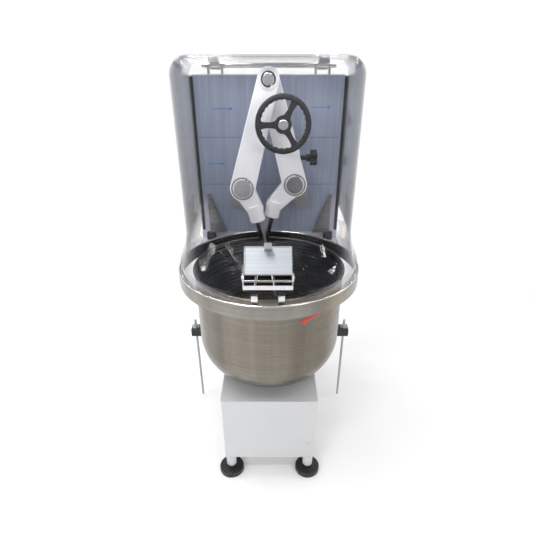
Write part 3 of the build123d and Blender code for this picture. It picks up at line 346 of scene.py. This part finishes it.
# ---- extra visual pieces -----------------------------------------------------------------
def new_object(name, mesh_builder, look, body):
    """Makes a mesh with bmesh, dresses it and lets it ride on a body."""
    bm = bmesh.new()
    mesh_builder(bm)
    bmesh.ops.recalc_face_normals(bm, faces=bm.faces)
    mesh = bpy.data.meshes.new(name)
    bm.to_mesh(mesh)
    bm.free()
    mesh.materials.append(look)
    piece = bpy.data.objects.new(name, mesh)
    bpy.context.collection.objects.link(piece)
    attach(piece, body)
    return piece


def prism(bm, outline, y_front, y_back):
    """Flat plate with its outline in the XZ plane."""
    front = [bm.verts.new((x, y_front, z)) for x, z in outline]
    back = [bm.verts.new((x, y_back, z)) for x, z in outline]
    bm.faces.new(front)
    bm.faces.new(list(reversed(back)))
    count = len(outline)
    for i in range(count):
        j = (i + 1) % count
        bm.faces.new((front[i], back[i], back[j], front[j]))


def ring_clip(x, z, y_front, inner, outer, open_at, open_half):
    """Retaining ring facing the operator, with two eared ends either side of a gap."""
    def build(bm):
        start = open_at + open_half
        span = 2 * math.pi - 2 * open_half
        points = []
        for radius, order in ((outer, range(CLIP_STEPS + 1)), (inner, range(CLIP_STEPS, -1, -1))):
            for i in order:
                angle = start + span * i / CLIP_STEPS
                points.append((x + radius * math.cos(angle), z + radius * math.sin(angle)))
        prism(bm, points, y_front, y_front + CLIP_THICKNESS)
        for angle in (start, start + span):
            centre = (x + (inner - 0.001) * math.cos(angle), z + (inner - 0.001) * math.sin(angle))
            lug = [(centre[0] + LUG_R * math.cos(t * math.pi / 8),
                    centre[1] + LUG_R * math.sin(t * math.pi / 8)) for t in range(16)]
            prism(bm, lug, y_front - 0.0003, y_front + 0.0012)
    return build


new_object("clip_left", ring_clip(-CRANK_PIN[0], CRANK_PIN[1], ARM_LEFT_FRONT, CLIP_INNER, CLIP_OUTER,
                                  math.radians(55), math.radians(9)), pin_steel, "arm_left")
new_object("clip_right", ring_clip(CRANK_PIN[0], CRANK_PIN[1], ARM_RIGHT_FRONT, CLIP_INNER, CLIP_OUTER,
                                   math.radians(70), math.radians(9)), pin_steel, "arm_right")
new_object("clip_top", ring_clip(*TOP_PIN, 0.0025, 0.0178, 0.0225, math.radians(-60), math.radians(20)),
           seam_dark, "arm_left")


def arrow(x0, x1, z, y, half):
    """Flat arrow on the film, pointing along +X."""
    def build(bm):
        head = x1 - ARROW_HEAD
        prism(bm, [(x0, z - half), (head, z - half), (head, z - 4 * half), (x1, z), (head, z + 4 * half),
                   (head, z + half), (x0, z + half)], y, y + FILM_THICKNESS)
    return build


def seam(z):
    """Thin dark line across the film, where two sheets meet."""
    def build(bm):
        prism(bm, [(-SEAM_REACH, z - SEAM_HALF), (SEAM_REACH, z - SEAM_HALF),
                   (SEAM_REACH, z + SEAM_HALF), (-SEAM_REACH, z + SEAM_HALF)],
              FILM_FACE + 0.0001, FILM_FACE + FILM_THICKNESS)
    return build


ARROWS = ((-0.195, -0.125, 1.245), (0.150, 0.215, 1.250), (-0.225, -0.165, 1.060))
for index, (x0, x1, z) in enumerate(ARROWS):
    new_object(f"film_arrow_{index}", arrow(x0, x1, z, FILM_FACE, ARROW_HALF), film_print, "base")
for index, z in enumerate((1.152, 0.985)):
    new_object(f"film_seam_{index}", seam(z), seam_dark, "base")


def hoop(radius, z, tube, steps=128, sides=10):
    """Rolled edge running round the guard ring, in a lighter steel colour that is a painted highlight."""
    def build(bm):
        loops = []
        for i in range(steps):
            a = 2 * math.pi * i / steps
            loop = []
            for k in range(sides):
                b = 2 * math.pi * k / sides
                r = radius + tube * math.cos(b)
                loop.append(bm.verts.new((r * math.cos(a), BOWL_Y + r * math.sin(a),
                                          z + tube * math.sin(b))))
            loops.append(loop)
        for i in range(steps):
            here, there = loops[i], loops[(i + 1) % steps]
            for k in range(sides):
                n = (k + 1) % sides
                face = bm.faces.new((here[k], here[n], there[n], there[k]))
                face.smooth = True
    return build


new_object("ring_top_edge", hoop(RING_R - EDGE_TUBE, EDGE_Z, EDGE_TUBE), painted_highlight_edge, "base")


def annulus(x, z, y_front, inner, outer, steps=72):
    """Flat ring facing the operator."""
    def build(bm):
        rings = []
        y_back = y_front + ANNULUS_THICKNESS
        for radius, y in ((outer, y_front), (inner, y_front), (inner, y_back), (outer, y_back)):
            rings.append([bm.verts.new((x + radius * math.cos(2 * math.pi * i / steps), y,
                                        z + radius * math.sin(2 * math.pi * i / steps)))
                          for i in range(steps)])
        for a, b in ((0, 1), (1, 2), (2, 3), (3, 0)):
            for i in range(steps):
                n = (i + 1) % steps
                bm.faces.new((rings[a][i], rings[a][n], rings[b][n], rings[b][i]))
    return build


new_object("face_left", annulus(-CRANK_PIN[0], CRANK_PIN[1], ARM_LEFT_FRONT - FACE_LIFT,
                                FACE_INNER, FACE_OUTER), arm_paint, "arm_left")
new_object("face_right", annulus(CRANK_PIN[0], CRANK_PIN[1], ARM_RIGHT_FRONT - FACE_LIFT,
                                 FACE_INNER, FACE_OUTER), arm_paint, "arm_right")
CIRCLES = ((-0.060, 1.225, 0.040), (-0.095, 1.060, 0.042), (0.165, 1.165, 0.040), (0.180, 1.060, 0.030))
for index, (x, z, radius) in enumerate(CIRCLES):
    new_object(f"film_circle_{index}", annulus(x, z, FILM_FACE, radius - CIRCLE_LINE, radius),
               film_faint, "base")


def bowl_sticker(bm):
    """Curved red arrow laid on the bowl's outside, showing which way it turns."""
    def on_bowl(angle_deg, lift):
        a = math.radians(angle_deg)
        return (STICKER_R * math.sin(a), BOWL_Y - STICKER_R * math.cos(a), STICKER_Z + lift)

    def edge(lift):
        return [bm.verts.new(on_bowl(STICKER_FROM + (STICKER_TO - STICKER_FROM) * i / STICKER_STEPS,
                                     lift - STICKER_DROP * i / STICKER_STEPS))
                for i in range(STICKER_STEPS + 1)]

    top = edge(0.005)
    low = edge(-0.003)
    for i in range(STICKER_STEPS):
        bm.faces.new((top[i], top[i + 1], low[i + 1], low[i]))
    tip = bm.verts.new(on_bowl(STICKER_TO - 4.5, -0.014))
    barb_top = bm.verts.new(on_bowl(STICKER_TO, 0.004))
    barb_low = bm.verts.new(on_bowl(STICKER_TO, -0.026))
    bm.faces.new((barb_top, tip, barb_low))


new_object("bowl_sticker", bowl_sticker, sticker_red, "bowl")


def wheel_profile(angle):
    """Scalloped inner edge of the handwheel's rim."""
    return WHEEL_R - 0.0165 - 0.0022 * max(0.0, math.cos(SCALLOPS * angle)) ** 0.6


def handwheel(bm):
    """Moulded rim with finger scallops, three waisted spokes, hub and shaft."""
    sections = []
    outer = WHEEL_R
    for i in range(WHEEL_STEPS):
        a = 2 * math.pi * i / WHEEL_STEPS
        inner = wheel_profile(a)
        shape = ((inner, -0.040), (inner + 0.0025, -0.0365), (outer - 0.004, -0.0345),
                 (outer - 0.0005, -0.0385), (outer, -0.042), (outer - 0.0005, -0.0455),
                 (outer - 0.004, -0.0492), (inner + 0.0035, -0.0497), (inner + 0.0008, -0.0475))
        sections.append([bm.verts.new((WHEEL[0] + r * math.cos(a), y, WHEEL[1] + r * math.sin(a)))
                         for r, y in shape])
    for i in range(WHEEL_STEPS):
        here, there = sections[i], sections[(i + 1) % WHEEL_STEPS]
        for k in range(len(here)):
            n = (k + 1) % len(here)
            bm.faces.new((here[k], here[n], there[n], there[k])).smooth = True
    for turn in SPOKE_TURNS:
        t = math.radians(turn)
        left, right = [], []
        for i in range(SPOKE_STEPS + 1):
            along = 0.012 + (WHEEL_R - 0.020) * i / SPOKE_STEPS
            middle = abs(i / SPOKE_STEPS - 0.52) / 0.52
            half = 0.0080 + 0.0085 * middle ** 2.2
            left.append((along, half))
            right.append((along, -half))
        outline = left + right[::-1]
        points = [(WHEEL[0] + u * math.cos(t) - v * math.sin(t),
                   WHEEL[1] + u * math.sin(t) + v * math.cos(t)) for u, v in outline]
        prism(bm, points, SPOKE_FRONT, SPOKE_BACK)
    for radius, front, back in ((0.026, -0.0485, -0.034), (0.016, -0.034, -0.012), (0.008, -0.012, 0.090)):
        circle = [(WHEEL[0] + radius * math.cos(2 * math.pi * k / HUB_STEPS),
                   WHEEL[1] + radius * math.sin(2 * math.pi * k / HUB_STEPS)) for k in range(HUB_STEPS)]
        prism(bm, circle, front, back)


wheel_piece = new_object("handwheel_moulding", handwheel, black_plastic, "handwheel")
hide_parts("handwheel")


# ---- stage, light and camera -------------------------------------------------------------
def stage_sheet(name, corners, look):
    """One flat face of the surroundings."""
    mesh = bpy.data.meshes.new(name)
    mesh.from_pydata(corners, [], [tuple(range(len(corners)))])
    mesh.materials.append(look)
    sheet = bpy.data.objects.new(name, mesh)
    bpy.context.collection.objects.link(sheet)


floor_mat, floor_tree, floor_shader = material("floor_pale")
floor_shader.inputs["Roughness"].default_value = 0.65
floor_tree.links.new(mix_colour(floor_tree, noise(floor_tree, coordinates(floor_tree), 2.0),
                                (0.99, 0.99, 0.99), (0.98, 0.98, 0.98)), floor_shader.inputs["Base Color"])
stage_sheet("floor", [(-FLOOR_HALF_W, FLOOR_FRONT, 0), (FLOOR_HALF_W, FLOOR_FRONT, 0),
                      (FLOOR_HALF_W, FLOOR_BACK, 0), (-FLOOR_HALF_W, FLOOR_BACK, 0)], floor_mat)

card_mat, card_tree, card_shader = material("grey_ceiling")
card_tree.links.new(mix_colour(card_tree, noise(card_tree, coordinates(card_tree), 0.8),
                               (0.30, 0.31, 0.33), (0.24, 0.25, 0.27)), card_shader.inputs["Base Color"])
card_shader.inputs["Roughness"].default_value = 0.9
stage_sheet("ceiling", [(-CARD_HALF_W, CARD_FRONT, CARD_Z), (CARD_HALF_W, CARD_FRONT, CARD_Z),
                        (CARD_HALF_W, CARD_BACK, CARD_Z), (-CARD_HALF_W, CARD_BACK, CARD_Z)], card_mat)


def area_light(name, place, target, size, power, colour=(1, 1, 1)):
    """Rectangular lamp at a place, facing its target."""
    data = bpy.data.lights.new(name, "AREA")
    data.shape = "RECTANGLE"
    data.size, data.size_y = size
    data.energy = power
    data.color = colour
    lamp = bpy.data.objects.new(name, data)
    lamp.location = place
    lamp.rotation_euler = (Vector(target) - Vector(place)).to_track_quat("-Z", "Y").to_euler()
    bpy.context.collection.objects.link(lamp)


area_light("key", (-1.5, -2.9, 2.2), (0, 0, 1.0), (1.2, 0.5), 27)
area_light("fill", (1.9, -2.7, 1.9), (0, 0, 1.0), (1.0, 0.5), 17)
area_light("hood_glow", (0.0, -0.12, 1.37), (0.0, -0.14, 0.5), (0.34, 0.22), 0.35)
area_light("warm_side", (1.7, -0.3, 0.3), (0.1, -0.2, 0.2), (0.6, 0.3), 2.0, (1.0, 0.72, 0.45))
for row in range(4):
    for column in range(4):
        x = -1.95 + 1.3 * column
        y = -1.3 + 1.2 * row
        area_light(f"ceiling_{row}_{column}", (x, y, CEILING_LAMP_Z), (x, y, 0), (0.6, 0.07), 5.2)
for row in range(4):
    for column in range(4):
        x = -1.55 + 0.38 * column + 0.1 * (row % 2)
        y = -0.62 + 0.42 * row
        area_light(f"tube_{row}_{column}", (x, y, TUBE_LAMP_Z), (x, y, 0), (0.24, 0.045), 1.5)

world = bpy.data.worlds.new("studio")
bpy.context.scene.world = world
world.use_nodes = True
world_nodes = world.node_tree.nodes
world_links = world.node_tree.links
direction = world_nodes.new("ShaderNodeTexCoord")
split = world_nodes.new("ShaderNodeSeparateXYZ")
world_links.new(direction.outputs["Generated"], split.inputs["Vector"])
bright = world_nodes.new("ShaderNodeMapRange")
bright.inputs["From Min"].default_value = -0.5
bright.inputs["From Max"].default_value = 0.3
bright.inputs["To Min"].default_value = 0.45
bright.inputs["To Max"].default_value = 1.02
world_links.new(split.outputs["Y"], bright.inputs["Value"])
world_links.new(bright.outputs["Result"], world_nodes["Background"].inputs["Strength"])
world_nodes["Background"].inputs["Color"].default_value = (1, 1, 1, 1)

camera_data = bpy.data.cameras.new("camera")
camera_data.sensor_width = 36.0
camera_data.lens = 27.73
camera_data.shift_x = -0.0128
camera_data.shift_y = 0.0634
camera_data.clip_start = 0.05
camera_data.clip_end = 200.0
camera = bpy.data.objects.new("camera", camera_data)
camera.location = (0.0149, -1.3905, 1.3794)
camera.rotation_euler = (math.radians(90.0 - 29.9), 0.0, 0.0)
bpy.context.collection.objects.link(camera)
bpy.context.scene.camera = camera
bpy.context.scene.view_settings.view_transform = "Standard"
